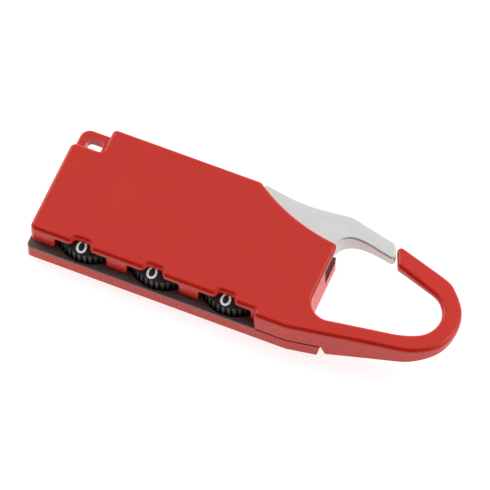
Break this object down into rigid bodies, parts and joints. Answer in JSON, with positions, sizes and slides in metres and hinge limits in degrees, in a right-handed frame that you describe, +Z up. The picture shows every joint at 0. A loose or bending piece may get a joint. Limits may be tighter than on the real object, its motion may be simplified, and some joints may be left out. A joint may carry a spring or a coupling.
{
  "type": "luggage combination padlock",
  "caption": "Flat luggage padlock with coded dials along one side and a carabiner-style hook closed by a sprung swinging gate.",
  "frame": {"origin": "centre of the bounding box's base, on the underside", "axes": "+X from the keyring tab towards the hook, +Y from the dial side to the back, +Z up out of the top plate"},
  "size_m": [0.089, 0.0302, 0.0094],
  "materials": {
    "red_housing": "satin red paint",
    "satin_silver": "fine satin",
    "dial_black": "satin moulded",
    "black_plastic": "satin moulded",
    "steel": "plated",
    "spring_steel": "wire",
    "brass": "machined"
  },
  "bodies": {
    "housing": {"top_shell": "red_housing", "bottom_shell": "red_housing", "chassis_plate": "black_plastic", "gate_pin": "steel", "gate_spring": "spring_steel", "case_screws": "steel", "dial_axle_1": "steel", "dial_axle_2": "steel", "dial_axle_3": "steel", "detent_spring_1": "spring_steel", "detent_spring_2": "spring_steel", "detent_spring_3": "spring_steel"},
    "gate": {"gate_arm": "satin_silver"},
    "lock_slide": {"lock_bar": "steel"},
    "reset": {"reset_plate": "steel", "reset_button": "black_plastic"},
    "dial_wheel_1": {"dial_1": "dial_black", "code_cam_1": "brass", "cam_spring_1": "spring_steel"},
    "dial_wheel_2": {"dial_2": "dial_black", "code_cam_2": "brass", "cam_spring_2": "spring_steel"},
    "dial_wheel_3": {"dial_3": "dial_black", "code_cam_3": "brass", "cam_spring_3": "spring_steel"}
  },
  "joints": [
    {"name": "dial_1_spin", "type": "hinge", "parent": "housing", "child": "dial_wheel_1", "pos_m": [-0.03307, -0.0069, 0.006], "axis": [0, 0, 1], "continuous": true},
    {"name": "dial_2_spin", "type": "hinge", "parent": "housing", "child": "dial_wheel_2", "pos_m": [-0.01712, -0.0069, 0.006], "axis": [0, 0, 1], "continuous": true},
    {"name": "dial_3_spin", "type": "hinge", "parent": "housing", "child": "dial_wheel_3", "pos_m": [-0.00132, -0.0069, 0.006], "axis": [0, 0, 1], "continuous": true},
    {"name": "gate_swing", "type": "hinge", "parent": "housing", "child": "gate", "pos_m": [-0.00137, 0.00895, 0.006], "axis": [0, 0, 1], "range_deg": [-25, 0], "stiffness_Nm_per_rad": 0.02, "springref_deg": 22.92},
    {"name": "lock_bar_slide", "type": "slide", "parent": "housing", "child": "lock_slide", "axis": [1, 0, 0], "range_m": [-0.0025, 0]},
    {"name": "reset_press", "type": "slide", "parent": "housing", "child": "reset", "axis": [0, 0, 1], "range_m": [0, 0.0005], "stiffness_N_per_m": 60, "springref_m": -0.002}
  ],
  "couplings": [
    {"joint": "lock_bar_slide", "follows": "gate_swing", "m_per_rad": 0.005327}
  ]
}
